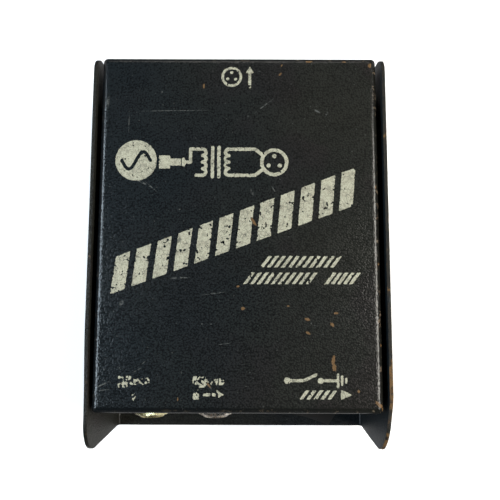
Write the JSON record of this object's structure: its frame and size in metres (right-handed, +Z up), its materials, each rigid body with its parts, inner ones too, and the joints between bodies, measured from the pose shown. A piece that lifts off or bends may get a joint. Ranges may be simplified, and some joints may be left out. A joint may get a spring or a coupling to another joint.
{
  "type": "direct injection box",
  "caption": "Rectangular black steel case with side plates running on as front ears, quarter-inch jacks and a rocker on the front, and a three-pin connector at the rear.",
  "frame": {"origin": "centre of the bounding box in X and Y, on the surface that the feet rest on", "axes": "+X right and +Y to the rear seen from the jack side, +Z up; the length runs along Y and the height along Z"},
  "size_m": [0.1016, 0.1372, 0.0474],
  "materials": {
    "black_nylon": "satin moulded nylon",
    "black_painted_steel": "fine-textured black enamel, worn",
    "black_screw_steel": "black oxide",
    "contact_brass": "tin-flashed brass",
    "core_steel": "varnished laminations",
    "enamelled_copper": "enamelled copper wire",
    "foot_rubber": "moulded, matte",
    "insert_plastic": "moulded insert",
    "jack_frame_plate": "nickel-plated frame",
    "nickel_plate": "aged nickel plate",
    "phenolic_board": "brown paper phenolic",
    "pin_silver": "silver-plated contact",
    "satin_nickel_shell": "satin nickel on die casting",
    "spring_alloy": "nickel-silver spring strip",
    "spring_steel": "spring wire",
    "white_acetal": "natural acetal",
    "wire_black": "PVC insulation",
    "wire_blue": "PVC insulation",
    "wire_green": "PVC insulation",
    "wire_red": "PVC insulation",
    "wire_white": "PVC insulation",
    "wrap_tape": "yellow polyester tape",
    "zinc_plated_steel": "bright zinc plate"
  },
  "bodies": {
    "case": {"base_tray": "black_painted_steel", "case_press_nuts": "zinc_plated_steel", "case_screws": "zinc_plated_steel", "foot_front_left": "foot_rubber", "foot_front_right": "foot_rubber", "foot_rear_left": "foot_rubber", "foot_rear_right": "foot_rubber", "jack_in_bushing": "nickel_plate", "jack_in_frame": "jack_frame_plate", "jack_in_insulators": "phenolic_board", "jack_in_lock_washer": "nickel_plate", "jack_in_nut": "nickel_plate", "jack_in_stack_rivet": "contact_brass", "jack_in_tip_lug": "spring_alloy", "jack_in_washer": "nickel_plate", "jack_thru_bushing": "nickel_plate", "jack_thru_frame": "jack_frame_plate", "jack_thru_insulators": "phenolic_board", "jack_thru_lock_washer": "nickel_plate", "jack_thru_nut": "nickel_plate", "jack_thru_stack_rivet": "contact_brass", "jack_thru_tip_lug": "spring_alloy", "jack_thru_washer": "nickel_plate", "switch_common_terminal": "contact_brass", "switch_housing": "black_nylon", "switch_throw_terminal": "contact_brass", "top_cover": "black_painted_steel", "transformer_bobbin": "white_acetal", "transformer_core": "core_steel", "transformer_frame": "zinc_plated_steel", "transformer_nuts": "zinc_plated_steel", "transformer_screws": "zinc_plated_steel", "transformer_tape": "wrap_tape", "transformer_winding": "enamelled_copper", "wire_ground": "wire_green", "wire_ground_return": "wire_green", "wire_primary_hot": "wire_red", "wire_primary_return": "wire_black", "wire_secondary_cold": "wire_blue", "wire_secondary_hot": "wire_white", "wire_sleeve_link": "wire_green", "wire_tip_link": "wire_red", "xlr_insert": "insert_plastic", "xlr_nuts": "zinc_plated_steel", "xlr_pin_1": "pin_silver", "xlr_pin_2": "pin_silver", "xlr_pin_3": "pin_silver", "xlr_screws": "black_screw_steel", "xlr_shell": "satin_nickel_shell"},
    "rocker": {"switch_rocker": "black_nylon", "switch_plunger": "white_acetal", "switch_plunger_spring": "spring_steel"},
    "contact_lever": {"switch_contact_lever": "contact_brass"},
    "jack_in_leaf": {"jack_in_tip_spring": "spring_alloy"},
    "jack_thru_leaf": {"jack_thru_tip_spring": "spring_alloy"}
  },
  "joints": [
    {"name": "rocker_turn", "type": "hinge", "parent": "case", "child": "rocker", "pos_m": [0.0263, -0.05395, 0.02605], "axis": [0, 0, 1], "range_deg": [0, 32]},
    {"name": "contact_lever_turn", "type": "hinge", "parent": "case", "child": "contact_lever", "pos_m": [0.0263, -0.04415, 0.02605], "axis": [0, 0, 1], "range_deg": [-20, 0]},
    {"name": "jack_in_leaf_flex", "type": "hinge", "parent": "case", "child": "jack_in_leaf", "pos_m": [-0.03175, -0.0442, 0.02005], "axis": [-1, 0, 0], "range_deg": [0, 10], "stiffness_Nm_per_rad": 0.06},
    {"name": "jack_thru_leaf_flex", "type": "hinge", "parent": "case", "child": "jack_thru_leaf", "pos_m": [-0.0085, -0.0442, 0.02005], "axis": [-1, 0, 0], "range_deg": [0, 10], "stiffness_Nm_per_rad": 0.06}
  ],
  "couplings": [
    {"joint": "contact_lever_turn", "follows": "rocker_turn", "ratio": -0.625}
  ]
}
